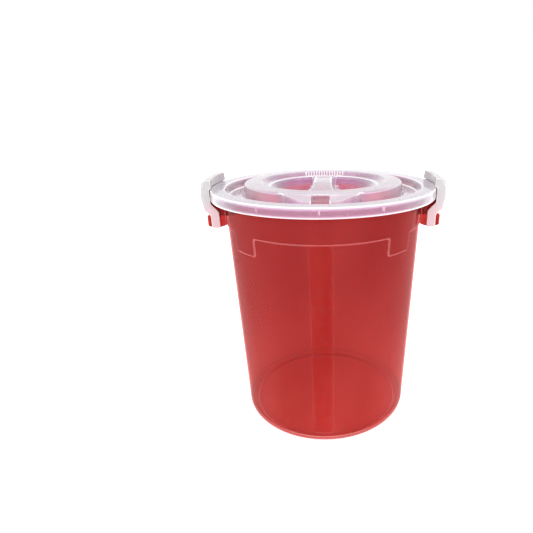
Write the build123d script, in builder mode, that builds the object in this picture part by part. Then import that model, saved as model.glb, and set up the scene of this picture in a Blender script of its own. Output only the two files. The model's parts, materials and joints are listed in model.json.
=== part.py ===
from build123d import *
import math
import os

os.makedirs("parts", exist_ok=True)

# A round plastic fermenting bucket with a press-in lid and two side latches.
# The bucket's axis is Z, the ground is Z = 0, the latches stand at +X and -X, and the
# front is -Y. All sizes are in millimetres.

# Bucket: the wall's radii are its outer ones, at the ground and under the rim.
body_height = 358.0
base_radius = 131.5
mouth_radius = 141.2
wall = 2.0
corner_radius = 12.0
base_lift = 3.3
foot_width = 3.0
base_rib_pitch = 33.6
base_rib_count = 6
base_rib_width = 1.4
base_rib_clear = 0.5
base_rib_turn = -4.3

# Rim of the bucket: the wall flares out to a flange with a lip that turns down.
flare_height = 10.5
flare_run = 4.0
flange_width = 15.3
flange_thickness = 2.2
lip_height = 8.5
lip_thickness = 2.0

# Raised detail on the wall, each with how far it stands out.
band_drop = 50.0
band_proud = 1.2
tab_length = 24.0
tab_start = 37.5
tab_arc = 17.0
strip_foot = 20.0
strip_arc = 12.4
strip_proud = 0.8
rib_length = 17.0
rib_azimuth = 60.0
rib_arc = 1.8
rib_proud = 2.6

# Lid: one sheet, read from the rim inwards.
lid_wall = 2.2
skirt_height = 13.1
skirt_flare = 0.7
skirt_clearance = 1.3
rim_round = 2.0
plug_clearance = 0.5
plug_slope = 3.5
channel_depth = 12.0
channel_width = 20.5
ring_slope = 4.0
ring_width = 23.0
ring_outer_height = 5.5
ring_inner_height = 6.5
ring_inner_slope = 10.0
bowl_lip_width = 3.0
bowl_depth = 24.0
bowl_slope = 14.0
bar_width = 28.0
bar_rise = 7.0
panel_inset = 0.8
panel_length = 44.0
panel_margin = 4.0
step_count = 3
step_depth = 5.0
step_height = 5.5
step_half_width = 42.0
lobe_radius = 58.0

# Seal: a flat ring under the lid's rim.
seal_thickness = 1.8
seal_width = 8.0
seal_inset = 2.8

# Latches, from the lid's edge outwards, and from the lid's top up and down.
latch_wall = 2.5
latch_leg = 4.5
lug_half_width = 36.0
lug_wall = 3.0
side_clearance = 1.0
hook_overlap = 1.8
hook_height = 12.8
hook_reach = 8.5
hood_reach = 10.4
hood_drop = 2.0
hood_round = 6.0
web_drop = 34.0
web_reach = 6.0
web_round = 5.0
skirt_clear = 1.2
rim_clearance = 0.3
arm_drop = 20.0
leg_top_drop = 30.0
leg_half_width = 6.0
leg_round = 2.0
pivot_inset = 8.5
pivot_drop = 50.0
pivot_radius = 3.0
pivot_clearance = 0.06
leg_foot = 4.5

# Lugs on the wall, which the latches turn on.
lug_top_clearance = 1.4
lug_outer_gap = 0.5
lug_step_drop = 34.0
lug_outer_reach = 4.6
lug_drop = 54.0
lug_corner = 5.0
lug_sag = 10.5

# Fits worked out from the sizes above.
cut = 40.0
overlap = 0.5
flare_foot = body_height - flare_height
flange_radius = mouth_radius + flange_width
lid_radius = flange_radius + skirt_clearance + lid_wall
lid_top = body_height + seal_thickness + lid_wall
foot_radius = base_radius - corner_radius
channel_outer = mouth_radius - wall - plug_clearance - lid_wall
channel_inner = channel_outer - channel_width
ring_outer = channel_inner - ring_slope
ring_inner = ring_outer - ring_width
bowl_lip = ring_inner - ring_inner_slope
bowl_radius = bowl_lip - bowl_lip_width
bowl_floor = lid_top - bowl_depth
pivot_x = lid_radius - pivot_inset
pivot_z = lid_top - pivot_drop
leg_inner = lug_half_width + side_clearance
skirt_foot = lid_top - skirt_height
band_foot = lid_top - band_drop
flange_underside = body_height - flange_thickness


def wall_radius(height):
    """Outer radius of the plain wall at a height above the ground."""
    return base_radius + (mouth_radius - base_radius) * height / flare_foot


def radial_plane(azimuth):
    """Upright plane through the axis, azimuth in degrees from the front towards +X."""
    angle = math.radians(azimuth - 90)
    return Plane(
        origin=(0, 0, 0),
        x_dir=(math.cos(angle), math.sin(angle), 0),
        z_dir=(math.sin(angle), -math.cos(angle), 0),
    )


def wall_patch(azimuth, low, high, proud):
    """Upright section at an azimuth of something that stands out from the wall."""
    with BuildSketch(radial_plane(azimuth)) as patch:
        with BuildLine():
            Polyline(
                (wall_radius(low) - overlap, low),
                (wall_radius(low) + proud, low),
                (wall_radius(high) + proud, high),
                (wall_radius(high) - overlap, high),
                close=True,
            )
        make_face()
    return patch.sketch


# Lug: a hollow hand hold, open below, with the latch's pivot hole through both cheeks.
lug_top = skirt_foot - lug_top_clearance
lug_shoulder = math.sqrt(flange_radius**2 - lug_half_width**2) - overlap
lug_face = lid_radius - lug_outer_gap
lug_ledge = lid_radius + lug_outer_reach
lug_root = mouth_radius - lug_wall - lug_sag
lug_bottom = lid_top - lug_drop
lug_step = lid_top - lug_step_drop
with BuildPart() as lug:
    with BuildSketch(Plane.XZ):
        with BuildLine():
            Polyline(
                (lug_root, flange_underside - overlap),
                (lug_shoulder, flange_underside - overlap),
                (lug_shoulder, lug_top),
                (lug_face, lug_top),
                (lug_face, lug_step),
                (lug_ledge, lug_step - lug_outer_reach - lug_outer_gap),
                (lug_ledge, lug_bottom),
                (lug_root, lug_bottom),
                close=True,
            )
        make_face()
        fillet(vertices().group_by(Axis.X)[-1].sort_by(Axis.Y)[0], lug_corner)
    extrude(amount=lug_half_width, both=True)
    with BuildSketch(Plane.XZ):
        with BuildLine():
            Polyline(
                (0, flange_underside - overlap - lug_wall),
                (lug_shoulder - lug_wall, flange_underside - overlap - lug_wall),
                (lug_shoulder - lug_wall, lug_top - lug_wall),
                (lug_face - lug_wall, lug_top - lug_wall),
                (lug_face - lug_wall, lug_step - lug_wall / 2),
                (lug_ledge - lug_wall, lug_step - lug_outer_reach - lug_wall),
                (lug_ledge - lug_wall, lug_bottom - cut),
                (0, lug_bottom - cut),
                close=True,
            )
        make_face()
    extrude(amount=lug_half_width - lug_wall, both=True, mode=Mode.SUBTRACT)
    with BuildSketch(Plane.XZ):
        with Locations((pivot_x, pivot_z)):
            Circle(pivot_radius + pivot_clearance)
    extrude(amount=lug_half_width + cut, both=True, mode=Mode.SUBTRACT)

# Bucket: the outer form first, then what stands on the wall, then the inside.
with BuildPart() as bucket_body:
    with BuildSketch(Plane.XZ) as outer_form:
        with BuildLine():
            Polyline(
                (0, 0),
                (base_radius, 0),
                (mouth_radius, flare_foot),
                (mouth_radius + flare_run, flange_underside),
                (flange_radius - lip_thickness, flange_underside),
                (flange_radius - lip_thickness, body_height - lip_height),
                (flange_radius, body_height - lip_height),
                (flange_radius, body_height),
                (0, body_height),
                close=True,
            )
        make_face()
        fillet(vertices().sort_by_distance((base_radius, 0))[0], corner_radius)
    revolve(axis=Axis.Z)
    revolve(wall_patch(0, band_foot, flare_foot, band_proud), axis=Axis.Z)
    for side in (0, 180):
        for tab in (side + tab_start, side - tab_start - tab_arc):
            patch = wall_patch(tab, band_foot - tab_length, band_foot, band_proud)
            revolve(patch, axis=Axis.Z, revolution_arc=tab_arc)
        patch = wall_patch(side - strip_arc / 2, strip_foot, band_foot + overlap, strip_proud)
        revolve(patch, axis=Axis.Z, revolution_arc=strip_arc)
        for rib in (side + rib_azimuth, side - rib_azimuth):
            patch = wall_patch(rib - rib_arc / 2, band_foot, band_foot + rib_length, rib_proud)
            revolve(patch, axis=Axis.Z, revolution_arc=rib_arc)
    add(lug.part)
    mirror(lug.part, about=Plane.YZ)
    with BuildSketch(Plane.XZ):
        with BuildLine():
            Polyline(
                (0, base_lift + wall),
                (base_radius - wall, base_lift + wall),
                (mouth_radius - wall, flare_foot),
                (mouth_radius - wall + flare_run, body_height),
                (0, body_height),
                close=True,
            )
        make_face()
        fillet(vertices().sort_by_distance((base_radius, base_lift))[0], corner_radius - wall)
    revolve(axis=Axis.Z, mode=Mode.SUBTRACT)
    with BuildSketch(Plane.XY):
        Circle(foot_radius - foot_width)
    extrude(amount=base_lift, mode=Mode.SUBTRACT)
    with BuildSketch(Plane.XY.offset(base_rib_clear).rotated((0, 0, base_rib_turn))):
        with GridLocations(base_rib_pitch, 0, base_rib_count, 1):
            Rectangle(base_rib_width, 2 * foot_radius)
        with GridLocations(0, base_rib_pitch, 1, base_rib_count):
            Rectangle(2 * foot_radius, base_rib_width)
        Circle(foot_radius - foot_width + overlap, mode=Mode.INTERSECT)
    extrude(amount=base_lift - base_rib_clear + overlap)

# Handle bar across the lid's bowl: a ridge of the same sheet, hollow from below.
bar_foot = bowl_floor - lid_wall
with BuildPart() as bar_form:
    with BuildSketch(Plane.YZ):
        with BuildLine():
            Polyline(
                (-bowl_radius, lid_top), (-bowl_radius, bar_foot), (bowl_radius, bar_foot), (bowl_radius, lid_top)
            )
            ThreePointArc((-bowl_radius, lid_top), (0, lid_top + bar_rise), (bowl_radius, lid_top))
        make_face()
    extrude(amount=bar_width / 2, both=True)
    with BuildSketch(Plane.XY.offset(lid_top + bar_rise - panel_inset)):
        Rectangle(bar_width - 2 * panel_margin, panel_length)
    extrude(amount=cut, mode=Mode.SUBTRACT)

with BuildPart() as bar_hollow:
    hollow_half = bowl_radius - bowl_slope
    with BuildSketch(Plane.YZ):
        with BuildLine():
            Polyline(
                (-hollow_half, lid_top - lid_wall - panel_inset),
                (-hollow_half, bar_foot),
                (hollow_half, bar_foot),
                (hollow_half, lid_top - lid_wall - panel_inset),
            )
            ThreePointArc(
                (-hollow_half, lid_top - lid_wall - panel_inset),
                (0, lid_top + bar_rise - lid_wall - panel_inset),
                (hollow_half, lid_top - lid_wall - panel_inset),
            )
        make_face()
    extrude(amount=bar_width / 2 - lid_wall, both=True)

# Grip steps at both ends of the bowl, each tread one step lower towards the middle.
with BuildPart() as grip_steps:
    for side in (1, -1):
        for step in range(step_count):
            step_top = lid_top - (step + 1) * step_height
            with BuildSketch(Plane.XY.offset(bar_foot)):
                with Locations((0, side * (bowl_radius - (step + 1) * step_depth + cut))):
                    Rectangle(2 * step_half_width, 2 * cut)
            extrude(amount=step_top - bar_foot)
    with BuildSketch(Plane.XZ):
        with BuildLine():
            Polyline(
                (0, bar_foot),
                (bowl_radius - bowl_slope, bar_foot),
                (bowl_radius, lid_top),
                (0, lid_top),
                close=True,
            )
        make_face()
    revolve(axis=Axis.Z, mode=Mode.INTERSECT)

# Lobe: the ring's front runs down across the channel to the rim.
with BuildPart() as front_lobe:
    with BuildSketch(Plane.XZ):
        with BuildLine():
            Polyline(
                (ring_outer - overlap, lid_top + ring_outer_height),
                (channel_outer + overlap, lid_top - channel_depth + overlap),
                (channel_outer + overlap, lid_top - channel_depth - overlap),
                (ring_outer - overlap, lid_top - channel_depth - overlap),
                close=True,
            )
        make_face()
    revolve(axis=Axis.Z)
    with BuildSketch(Plane.XY.offset(bowl_floor)):
        with Locations((0, lobe_radius - channel_outer)):
            Circle(lobe_radius)
    extrude(amount=bowl_depth + cut, mode=Mode.INTERSECT)

with BuildPart() as lid:
    with BuildSketch(Plane.XZ):
        with BuildLine():
            Polyline(
                (-cut, bowl_floor),
                (bowl_radius - bowl_slope, bowl_floor),
                (bowl_radius, lid_top),
                (bowl_lip, lid_top),
                (ring_inner, lid_top + ring_inner_height),
                (ring_outer, lid_top + ring_outer_height),
                (channel_inner, lid_top - channel_depth),
                (channel_outer, lid_top - channel_depth),
                (channel_outer + plug_slope, lid_top),
                (lid_radius, lid_top),
                (lid_radius + skirt_flare, skirt_foot),
                (lid_radius + skirt_flare, bowl_floor - cut),
                (-cut, bowl_floor - cut),
                close=True,
            )
        make_face()
        fillet(vertices().sort_by_distance((lid_radius, lid_top))[0], rim_round)
        offset(amount=-lid_wall, kind=Kind.INTERSECTION, mode=Mode.SUBTRACT)
        with BuildLine():
            Polyline(
                (-2 * cut, lid_top + cut),
                (0, lid_top + cut),
                (0, bar_foot - overlap),
                (mouth_radius, bar_foot - overlap),
                (mouth_radius, skirt_foot),
                (lid_radius + cut, skirt_foot),
                (lid_radius + cut, bar_foot - 2 * cut),
                (-2 * cut, bar_foot - 2 * cut),
                close=True,
            )
        make_face(mode=Mode.SUBTRACT)
    revolve(axis=Axis.Z)
    add(grip_steps.part)
    add(front_lobe.part)
    add(bar_form.part)
    add(bar_hollow.part, mode=Mode.SUBTRACT)
lid.part.label = "lid"
export_step(lid.part, "parts/lid.step")

bucket_body.part.label = "bucket_body"
export_step(bucket_body.part, "parts/bucket_body.step")

seal_outer = flange_radius - seal_inset
with BuildPart() as lid_seal:
    with BuildSketch(Plane.XY.offset(body_height)):
        Circle(seal_outer)
        Circle(seal_outer - seal_width, mode=Mode.SUBTRACT)
    extrude(amount=seal_thickness)
lid_seal.part.label = "lid_seal"
export_step(lid_seal.part, "parts/lid_seal.step")

# Latch: two legs and a hood between them, one moulding, hollow towards the bucket. Its
# hook follows the lid's edge and stands just above the rim.
hook_inner = lid_radius - hook_overlap
hook_top = lid_top + hook_height
hood_face = lid_radius + hood_reach
hood_widest = lid_top - hood_drop
web_foot = lid_top - web_drop
web_face = lid_radius + web_reach
leg_outer = pivot_x + leg_half_width
leg_back = pivot_x - leg_half_width
latch_foot = pivot_z - leg_foot
with BuildPart() as latch_pocket:
    with BuildSketch(Plane.XZ):
        with BuildLine():
            Polyline(
                (0, latch_foot - overlap),
                (hood_face, latch_foot - overlap),
                (hood_face, web_foot + web_round),
                (web_face - latch_wall, web_foot + web_round),
                (hood_face - latch_wall, hood_widest),
                (lid_radius + hook_reach - latch_wall, hook_top - latch_wall),
                (0, hook_top - latch_wall),
                close=True,
            )
        make_face()
    extrude(amount=leg_inner, both=True)
    with BuildSketch(Plane.XY.offset(lid_top + rim_clearance)):
        Circle(hook_inner + latch_wall)
    extrude(amount=hook_height, mode=Mode.SUBTRACT)

with BuildPart() as latch_right:
    with BuildSketch(Plane.XZ):
        with BuildLine():
            Polyline(
                (leg_outer, latch_foot),
                (leg_outer, web_foot - leg_round),
                (web_face, web_foot + web_round),
                (hood_face, hood_widest),
                (lid_radius + hook_reach, hook_top),
                (leg_back, hook_top),
                (leg_back, latch_foot),
                close=True,
            )
        make_face()
        fillet(vertices().sort_by_distance((lid_radius + hook_reach, hook_top))[0], hood_round)
        fillet(vertices().sort_by_distance((leg_outer, web_foot - leg_round))[0], web_round)
        fillet(vertices().sort_by_distance((web_face, web_foot + web_round))[0], web_round)
        fillet(vertices().group_by(Axis.Y)[0], leg_round)
    extrude(amount=leg_inner + latch_leg, both=True)
    with BuildSketch(Plane.XZ):
        with BuildLine():
            Polyline(
                (0, lid_top - leg_top_drop),
                (leg_back, lid_top - leg_top_drop),
                (lid_radius + skirt_clear, lid_top - arm_drop),
                (lid_radius + skirt_clear, lid_top + rim_clearance),
                (hook_inner, lid_top + rim_clearance),
                (hook_inner, hook_top + overlap),
                (0, hook_top + overlap),
                close=True,
            )
        make_face()
    revolve(axis=Axis.Z, mode=Mode.SUBTRACT)
    add(latch_pocket.part, mode=Mode.SUBTRACT)
    for side in (1, -1):
        with BuildSketch(Plane.XZ.offset(side * leg_inner + side * overlap)):
            with Locations((pivot_x, pivot_z)):
                Circle(pivot_radius)
        extrude(amount=-side * (lug_wall + side_clearance + overlap))
latch_right.part.label = "latch_right"
export_step(latch_right.part, "parts/latch_right.step")

with BuildPart() as latch_left:
    mirror(latch_right.part, about=Plane.YZ)
latch_left.part.label = "latch_left"
export_step(latch_left.part, "parts/latch_left.step")
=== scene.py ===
import json
import math
import bmesh
import bpy
import numpy as np
from mathutils import Matrix, Vector


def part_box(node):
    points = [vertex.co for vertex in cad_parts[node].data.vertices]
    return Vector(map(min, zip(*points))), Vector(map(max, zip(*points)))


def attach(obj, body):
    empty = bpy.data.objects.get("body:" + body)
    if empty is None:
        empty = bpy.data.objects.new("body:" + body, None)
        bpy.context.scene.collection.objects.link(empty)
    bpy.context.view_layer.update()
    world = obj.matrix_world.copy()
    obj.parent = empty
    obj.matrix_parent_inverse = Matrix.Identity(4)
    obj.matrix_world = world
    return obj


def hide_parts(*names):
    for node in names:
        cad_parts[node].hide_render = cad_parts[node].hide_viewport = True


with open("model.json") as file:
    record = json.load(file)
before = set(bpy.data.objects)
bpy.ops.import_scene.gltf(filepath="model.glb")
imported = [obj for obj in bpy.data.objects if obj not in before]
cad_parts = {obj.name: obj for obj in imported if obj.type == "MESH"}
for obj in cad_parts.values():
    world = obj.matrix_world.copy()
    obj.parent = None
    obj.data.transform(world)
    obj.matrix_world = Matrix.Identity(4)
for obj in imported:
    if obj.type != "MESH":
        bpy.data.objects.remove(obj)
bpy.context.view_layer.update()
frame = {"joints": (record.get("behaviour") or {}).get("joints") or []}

mm = 0.001
print("frame loaded")

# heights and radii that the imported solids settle
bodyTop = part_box("bucket_body")[1].z
sealLow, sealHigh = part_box("lid_seal")
hingePlace = [joint for joint in frame["joints"] if joint["name"] == "latch_right_turn"][0]["pos_m"]
sheetWall = 2.2 * mm
lidTop = sealHigh.z + sheetWall


def smoothStep(low, high, x):
    # 0 below low, 1 above high, an S curve between
    t = np.clip((x - low) / (high - low), 0, 1)
    return t * t * (3 - 2 * t)


def crest(x, halfWidth):
    # 1 at x = 0, falling as a cosine to 0 at halfWidth either side
    return 0.5 + 0.5 * np.cos(np.pi * np.clip(x / halfWidth, -1, 1))


def gathered(low, high, step, crowds):
    # even values from low to high, and closer ones round each crowd (centre, reach, near step)
    rows = [np.arange(low, high, step), [high]]
    rows += [np.arange(centre - reach, centre + reach, near) for centre, reach, near in crowds]
    values = np.unique(np.concatenate(rows))
    values = values[(values >= low) & (values <= high)]
    return values[np.concatenate([[True], np.diff(values) > 1e-5])]


def roundedPath(corners, step, turn=math.radians(12)):
    # straight runs whose corners (x, y, radius) are arcs tangent to both runs, with no stretch over step
    points = [np.array([corners[0][:2]], float)]
    for i in range(1, len(corners) - 1):
        before, here, after = (np.array(corners[k][:2], float) for k in (i - 1, i, i + 1))
        a = (before - here) / np.linalg.norm(before - here)
        b = (after - here) / np.linalg.norm(after - here)
        half = 0.5 * math.acos(float(np.clip(a @ b, -1, 1)))
        radius = corners[i][2]
        centre = here + (a + b) / np.linalg.norm(a + b) * radius / math.sin(half)
        start = here + a * radius / math.tan(half) - centre
        end = here + b * radius / math.tan(half) - centre
        sweep = math.pi - 2 * half
        t = np.linspace(0, 1, max(3, math.ceil(sweep / turn) + 1))[:, None]
        points.append(centre + (np.sin((1 - t) * sweep) * start + np.sin(t * sweep) * end) / math.sin(sweep))
    points.append(np.array([corners[-1][:2]], float))
    points = np.concatenate(points)
    gaps = np.linalg.norm(np.diff(points, axis=0), axis=1)
    runs = [np.linspace(points[i], points[i + 1], max(1, math.ceil(gaps[i] / step)), endpoint=False)
            for i in range(len(gaps)) if gaps[i] > 1e-7]
    return np.concatenate(runs + [points[-1:]])


def gridFaces(rows, columns, wrapRows=False, wrapColumns=False, first=0):
    # one quad for each cell of a grid of vertices numbered row by row
    r = np.arange(rows if wrapRows else rows - 1)[:, None]
    c = np.arange(columns if wrapColumns else columns - 1)[None, :]
    r2, c2 = (r + 1) % rows, (c + 1) % columns
    corners = [r * columns + c, r * columns + c2, r2 * columns + c2, r2 * columns + c]
    return first + np.stack([np.broadcast_to(x, (len(r), c.shape[1])) for x in corners], -1).reshape(-1, 4)


def makeMesh(name, points, faces, weld=1e-6):
    # vertices and quads into a mesh whose doubles are merged and whose faces point outwards
    mesh = bpy.data.meshes.new(name)
    mesh.from_pydata(np.asarray(points).reshape(-1, 3).tolist(), [], [list(face) for face in faces])
    work = bmesh.new()
    work.from_mesh(mesh)
    bmesh.ops.remove_doubles(work, verts=work.verts, dist=weld)
    bmesh.ops.dissolve_degenerate(work, dist=weld / 10, edges=work.edges)
    bmesh.ops.recalc_face_normals(work, faces=work.faces)
    work.to_mesh(mesh)
    work.free()
    mesh.polygons.foreach_set("use_smooth", np.ones(len(mesh.polygons), bool))
    piece = bpy.data.objects.new(name, mesh)
    bpy.context.scene.collection.objects.link(piece)
    return piece


def addBend(piece, adjust=None, limits=(0.04, 0.30)):
    # how sharply the surface bends at each vertex, 0 flat to 1 an edge: the mean over its edges of the
    # change of normal divided by the length, in radians to a millimetre, between the two limits
    # the materials paint a highlight by this value: a whiter colour, more opacity and more gloss on the
    # bends
    mesh = piece.data
    normals = np.empty(3 * len(mesh.vertices))
    places = np.empty(3 * len(mesh.vertices))
    ends = np.empty(2 * len(mesh.edges), int)
    mesh.vertices.foreach_get("normal", normals)
    mesh.vertices.foreach_get("co", places)
    mesh.edges.foreach_get("vertices", ends)
    normals, places, ends = normals.reshape(-1, 3), places.reshape(-1, 3), ends.reshape(-1, 2)
    change = np.linalg.norm(normals[ends[:, 0]] - normals[ends[:, 1]], axis=1)
    length = np.linalg.norm(places[ends[:, 0]] - places[ends[:, 1]], axis=1)
    rate = change / np.maximum(length, 0.2 * mm) * mm
    count = np.bincount(ends.ravel(), minlength=len(places))
    total = np.bincount(ends.ravel(), np.repeat(rate, 2), len(places))
    bend = smoothStep(*limits, total / np.maximum(count, 1))
    if adjust:
        bend = adjust(bend, *places.T)
    mesh.attributes.new("bend", "FLOAT", "POINT").data.foreach_set("value", bend)
    return piece


def turned(radius, height, azimuths):
    # points of a surface of revolution: radius (rows, columns) and height (rows, 1) at each azimuth
    radius = np.broadcast_to(radius, (height.shape[0], len(azimuths)))
    height = np.broadcast_to(height, radius.shape)
    return np.stack([radius * np.sin(azimuths), -radius * np.cos(azimuths), height], -1)


class Value:
    # a socket that takes part in sums: each operator adds its Math node
    def __init__(self, finish, socket):
        self.finish, self.socket = finish, socket

    def maths(self, operation, first, second):
        return self.finish.node("ShaderNodeMath", {"operation": operation}, {0: first, 1: second})

    def __add__(self, other): return self.maths("ADD", self, other)
    def __radd__(self, other): return self.maths("ADD", other, self)
    def __sub__(self, other): return self.maths("SUBTRACT", self, other)
    def __rsub__(self, other): return self.maths("SUBTRACT", other, self)
    def __mul__(self, other): return self.maths("MULTIPLY", self, other)
    def __rmul__(self, other): return self.maths("MULTIPLY", other, self)
    def __pow__(self, other): return self.maths("POWER", self, other)

    def least(self, other):
        return self.maths("MINIMUM", self, other)

    def most(self, other):
        return self.maths("MAXIMUM", self, other)

    def toHalfPitch(self, pitch):
        # the distance to the nearest odd multiple of half the pitch
        return self.maths("PINGPONG", self + pitch / 2, pitch / 2)

    def within(self, low, high):
        # 0 at low, 1 at high, with soft ends
        settings = {"interpolation_type": "SMOOTHSTEP"}
        sockets = {"Value": self, "From Min": low, "From Max": high}
        return self.finish.node("ShaderNodeMapRange", settings, sockets, "Result")


class Finish:
    # a material and the one method that adds a node to it
    def __init__(self, name):
        self.material = bpy.data.materials.new(name)
        self.material.use_nodes = True
        self.tree = self.material.node_tree
        self.tree.nodes.clear()
        self.coordinates = self.node("ShaderNodeTexCoord", output="Object")

    def node(self, kind, settings=None, sockets=None, output=0):
        # settings first, then the values or links of the sockets
        node = self.tree.nodes.new(kind)
        for name, value in (settings or {}).items():
            setattr(node, name, value)
        for name, value in (sockets or {}).items():
            if isinstance(value, Value):
                self.tree.links.new(value.socket, node.inputs[name])
            else:
                node.inputs[name].default_value = value
        return Value(self, node.outputs[output])

    def noise(self, scale, detail=3, stretch=(1, 1, 1), roughness=0.5):
        # noise of about 1/scale metres to a cell, stretched along each axis
        place = self.node("ShaderNodeMapping", {}, {"Vector": self.coordinates, "Scale": stretch})
        sockets = {"Vector": place, "Scale": scale, "Detail": detail, "Roughness": roughness}
        return self.node("ShaderNodeTexNoise", {}, sockets, "Fac")

    def blend(self, share, first, second):
        # a mix of two colours; the Mix node's colour sockets are inputs 6 and 7 and output 2
        return self.node("ShaderNodeMix", {"data_type": "RGBA"}, {0: share, 6: first, 7: second}, 2)

    def axis(self, name):
        return self.node("ShaderNodeSeparateXYZ", {}, {"Vector": self.coordinates}, name)

    def relief(self, height, strength, distance):
        sockets = {"Height": height, "Strength": strength, "Distance": distance}
        return self.node("ShaderNodeBump", {}, sockets, "Normal")

    def edges(self):
        return self.node("ShaderNodeAttribute", {"attribute_name": "bend"}, {}, "Fac")

    def slant(self):
        # 0 facing, 1 edge on
        return self.node("ShaderNodeLayerWeight", {}, {"Blend": 0.5}, "Facing")

    def mirrored(self):
        # Schlick's share of light mirrored by plastic, the same for both sides of a sheet
        return 0.04 + 0.96 * self.slant() ** 5.0

    def clearPlastic(self, opacity, tints, plastic, gloss, shineColour):
        # moulded plastic that passes part of the light straight through and mirrors more at a slant;
        # tints is the colour of the light passed, and where it varies a share and a second colour too
        body = self.node("ShaderNodeBsdfPrincipled", {}, plastic)
        clear = self.node("ShaderNodeBsdfTransparent", {}, {"Color": tints[0]})
        if len(tints) > 1:
            paler = self.node("ShaderNodeBsdfTransparent", {}, {"Color": tints[2]})
            clear = self.node("ShaderNodeMixShader", {}, {0: tints[1], 1: clear, 2: paler})
        mixed = self.node("ShaderNodeMixShader", {}, {0: opacity, 1: clear, 2: body})
        shine = {"Base Color": shineColour, "Metallic": 1.0, "Roughness": 0.07, "Normal": plastic["Normal"]}
        mirror = self.node("ShaderNodeBsdfPrincipled", {}, shine)
        surface = self.node("ShaderNodeMixShader", {}, {0: gloss, 1: mixed, 2: mirror})
        out = self.tree.nodes.new("ShaderNodeOutputMaterial")
        self.tree.links.new(surface.socket, out.inputs["Surface"])
        return self.material


# clear red plastic of the wall: deep and bright are the clouds in it, tint is what one skin passes, the
# paler tint is painted light passed low on the wall and in the base, and edge is the painted highlight on
# bends
redPlastic = {
    "deep": (0.55, 0.055, 0.055, 1), "bright": (0.68, 0.080, 0.075, 1), "edge": (0.95, 0.26, 0.26, 1),
    "tint": (0.672, 0.312, 0.302, 1), "thinTint": (1.0, 0.66, 0.61, 1), "shine": (0.75, 0.55, 0.62, 1),
    "opacity": 0.13, "cloudOpacity": 0.10, "footOpacity": 0.08, "edgeOpacity": 0.30, "cornerOpacity": 0.7,
    "roughness": 0.2, "cloudRoughness": 0.06, "grainRoughness": 0.03, "footRoughness": 0.18,
    "cloudScale": 14, "flowScale": 60, "grainScale": 1400, "flowDepth": 0.5 * mm,
    "gloss": 0.08, "edgeGloss": 0.08, "foot": (2 * mm, 16 * mm), "corner": (122 * mm, 129 * mm),
    "baseFoot": (1.8 * mm, 3.1 * mm), "baseTop": (5.6 * mm, 9 * mm), "baseRim": (126 * mm, 130 * mm),
    "baseThin": 0.70, "baseLine": 0.30, "wallThin": 0.36, "wallFade": (10 * mm, 220 * mm),
}
# the strip and the ribs lie on another skin and add little to it, the lugs are thicker and deeper
stripPlastic = dict(redPlastic, tint=(0.99, 0.83, 0.81, 1), thinTint=(0.98, 0.84, 0.82, 1),
                    edge=(0.92, 0.21, 0.20, 1), opacity=0.02, edgeGloss=0.05, gloss=0.1)
ribPlastic = dict(stripPlastic, tint=(1, 0.97, 0.96, 1), thinTint=(1, 0.97, 0.96, 1), opacity=-0.07)
lugPlastic = dict(redPlastic, tint=(0.62, 0.12, 0.10, 1), thinTint=(0.62, 0.12, 0.10, 1), opacity=0.22,
                  deep=(0.42, 0.008, 0.004, 1), bright=(0.52, 0.016, 0.008, 1), edge=(0.75, 0.09, 0.07, 1))


def moulded(name, look, lines=1.0, base=False):
    # clear red plastic: cloudy flow marks, a rubbed foot, a fine haze in the gloss, a painted highlight on
    # the bends and painted light low on the wall and in the base; lines is how far the painted highlight
    # shows, and base also paints lighter lines along the ribs under the base
    finish = Finish(name)
    cloud = finish.noise(look["cloudScale"], 3, (1, 1, 0.35))
    flow = finish.noise(look["flowScale"], 2, (0.25, 0.25, 2.4))
    grain = finish.noise(look["grainScale"], 2)
    x, y, z = (finish.axis(letter) for letter in "XYZ")
    radius = (x * x + y * y) ** 0.5
    edge = finish.edges() * lines
    foot = 1 - z.within(*look["foot"])
    corner = foot * radius.within(*look["corner"]) * finish.slant() ** 2.0
    # painted light: the base inside the foot ring passes a paler tint, paler again along the ribs under it
    floor = z.within(*look["baseFoot"]) * (1 - z.within(*look["baseTop"]))
    floor = floor * (1 - radius.within(*look["baseRim"]))
    if base:
        floor = floor * (look["baseThin"] + look["baseLine"] * ribLines(x, y))
    colour = finish.blend(cloud.within(0.35, 0.65), look["deep"], look["bright"])
    # painted highlight on the bends: the edge colour here, and more opacity and gloss below
    colour = finish.blend(edge, colour, look["edge"])
    rough = look["roughness"] + look["grainRoughness"] * (grain - 0.5)
    rough = rough + look["cloudRoughness"] * cloud.within(0.4, 0.8) + look["footRoughness"] * foot
    opacity = look["opacity"] + look["cloudOpacity"] * (cloud - 0.5) + look["footOpacity"] * foot
    opacity = opacity + look["edgeOpacity"] * edge + look["cornerOpacity"] * corner
    normal = finish.relief(flow, 0.15, look["flowDepth"])
    plastic = {"Base Color": colour, "Roughness": rough, "Normal": normal, "IOR": 1.49,
               "Coat Weight": 0.1, "Coat Roughness": 0.06}
    gloss = look["gloss"] * (finish.mirrored() - 0.03) + look["edgeGloss"] * edge
    # painted light: the lower wall passes a paler tint, fading out upwards
    wall = look["wallThin"] * (1 - z.within(*look["wallFade"])) * (1 - corner)
    tints = (look["tint"], wall.most(floor), look["thinTint"])
    return finish.clearPlastic(opacity, tints, plastic, gloss, look["shine"])


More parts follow.
